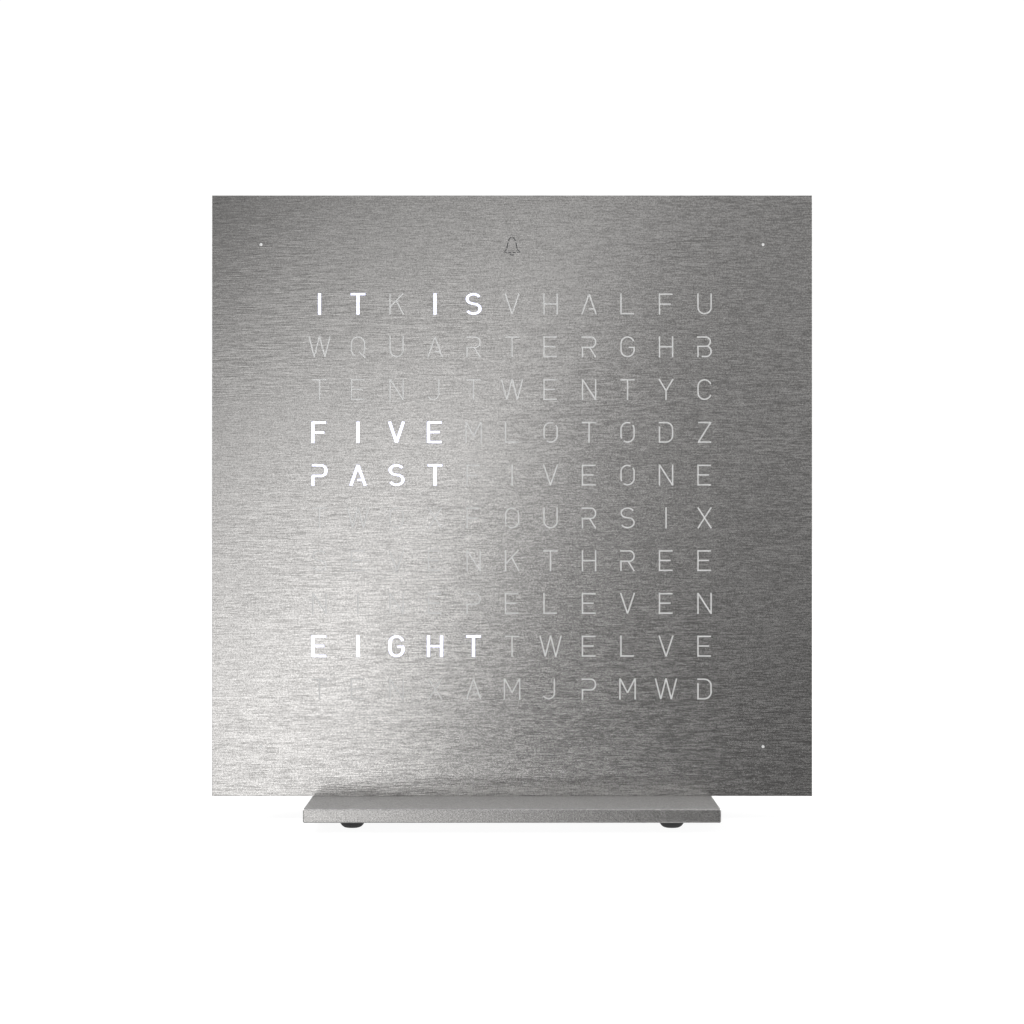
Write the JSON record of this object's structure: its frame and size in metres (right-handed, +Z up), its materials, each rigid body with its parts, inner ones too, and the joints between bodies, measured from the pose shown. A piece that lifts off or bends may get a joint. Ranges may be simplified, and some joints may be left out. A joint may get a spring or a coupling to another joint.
{
  "type": "word clock",
  "caption": "Square table clock with a brushed steel face on a flat metal foot plate; the time is told by lit words.",
  "frame": {"origin": "on the table plane, under the middle of the foot plate, at the lowest point of the rubber feet", "axes": "+Z up, -Y the way the face looks, +X to the right as seen from the face"},
  "size_m": [0.135, 0.066, 0.1403],
  "materials": {
    "cover_steel": "brushed crosswise",
    "diffuser_opal": "opal sheet",
    "disc_steel": "plain",
    "guide_black": "moulded, matt",
    "magnet_nickel": "nickel plated",
    "screw_steel": "black zinc",
    "circuit_board": "solder mask, satin",
    "lamp_white": "moulded package",
    "contact_brass": "plain",
    "housing_black": "fine spark-eroded texture",
    "button_grey": "satin",
    "plunger_plastic": "plain",
    "switch_black": "plain",
    "socket_tin": "bright tin",
    "can_aluminium": "drawn can",
    "base_aluminium": "bead blasted",
    "foot_rubber": "matt"
  },
  "bodies": {
    "clock": {"light_guide": "guide_black", "guide_magnets": "magnet_nickel", "guide_screws": "screw_steel", "rear_screws": "screw_steel", "stand_screws": "screw_steel", "led_board": "circuit_board", "letter_leds": "lamp_white", "minute_leds": "lamp_white", "bell_led": "lamp_white", "touch_spring": "contact_brass", "stand_inserts": "contact_brass", "housing_frame": "housing_black", "rear_cover": "housing_black", "switch_bodies": "switch_black", "socket_insulator": "switch_black", "sounder": "switch_black", "cell_holder": "switch_black", "microcontroller": "switch_black", "led_drivers": "switch_black", "socket_shell": "socket_tin", "coin_cell": "socket_tin", "cell_clip": "socket_tin", "clock_crystal": "can_aluminium", "smoothing_capacitor": "can_aluminium", "base_plate": "base_aluminium", "stand_spacer": "base_aluminium", "foot_front_left": "foot_rubber", "foot_front_right": "foot_rubber", "foot_rear_left": "foot_rubber", "foot_rear_right": "foot_rubber"},
    "cover": {"front_cover": "cover_steel", "diffuser_sheet": "diffuser_opal", "cover_discs": "disc_steel"},
    "hour_key": {"hour_button": "button_grey", "hour_plunger": "plunger_plastic"},
    "minute_key": {"minute_button": "button_grey", "minute_plunger": "plunger_plastic"},
    "alarm_key": {"alarm_button": "button_grey", "alarm_plunger": "plunger_plastic"},
    "mode_key": {"mode_button": "button_grey", "mode_plunger": "plunger_plastic"}
  },
  "joints": [
    {"name": "cover_pull", "type": "slide", "parent": "clock", "child": "cover", "axis": [0, -1, 0], "range_m": [0, 0.03]},
    {"name": "hour_press", "type": "slide", "parent": "clock", "child": "hour_key", "axis": [0, -1, 0], "range_m": [0, 0.0005], "stiffness_N_per_m": 2500},
    {"name": "minute_press", "type": "slide", "parent": "clock", "child": "minute_key", "axis": [0, -1, 0], "range_m": [0, 0.0005], "stiffness_N_per_m": 2500},
    {"name": "alarm_press", "type": "slide", "parent": "clock", "child": "alarm_key", "axis": [0, -1, 0], "range_m": [0, 0.0005], "stiffness_N_per_m": 2500},
    {"name": "mode_press", "type": "slide", "parent": "clock", "child": "mode_key", "axis": [0, -1, 0], "range_m": [0, 0.0005], "stiffness_N_per_m": 2500}
  ]
}
